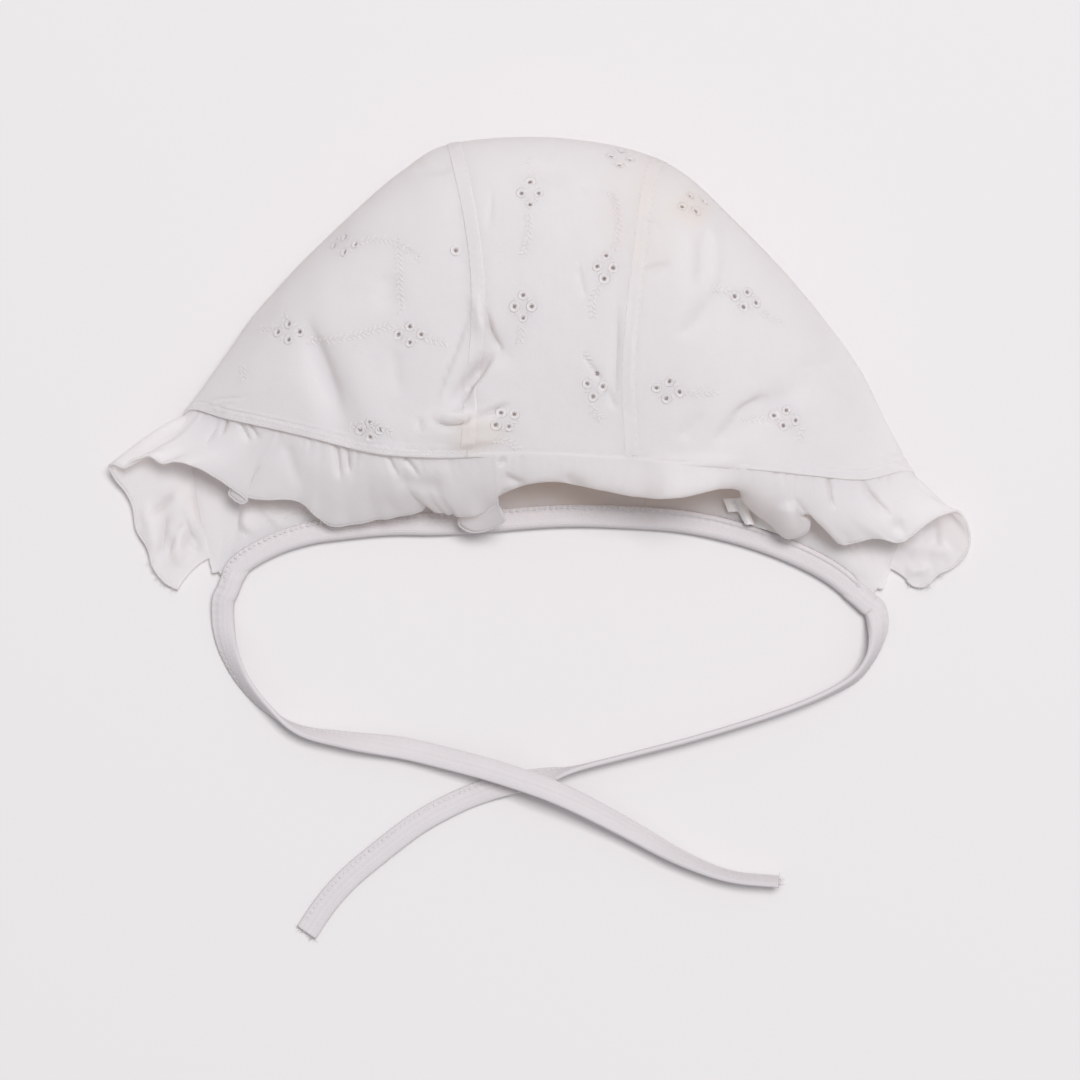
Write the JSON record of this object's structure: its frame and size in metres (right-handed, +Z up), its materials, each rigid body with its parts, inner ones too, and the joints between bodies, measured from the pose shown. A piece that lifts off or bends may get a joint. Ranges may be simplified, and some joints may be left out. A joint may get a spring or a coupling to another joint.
{
  "type": "baby sun hat",
  "caption": "Bonnet-shaped baby sun hat of white eyelet cotton with a gathered brim ruffle, a bound nape edge and loose tape ties, lying flat on its nape side.",
  "frame": {"origin": "middle of the box of the lying hat without its ties, on the surface that it lies on", "axes": "+Z up from the surface, +Y from the face opening to the top of the crown, +X across the face opening to the wearer's left ear"},
  "size_m": [0.2566, 0.2395, 0.0372],
  "materials": {
    "eyelet_cotton": "matt white cotton with cut and sewn eyelets",
    "ruffle_cotton": "matt white cotton, gathered, with an overlocked hem",
    "binding_tape": "matt white cotton tape with a line of stitches",
    "label_satin": "bare white satin ribbon"
  },
  "bodies": {
    "root": {"side_panel_left": "eyelet_cotton", "centre_panel": "eyelet_cotton", "side_panel_right": "eyelet_cotton", "brim_ruffle": "ruffle_cotton", "nape_band": "binding_tape", "tie_left": "binding_tape", "tie_right": "binding_tape", "label": "label_satin"}
  },
  "joints": []
}
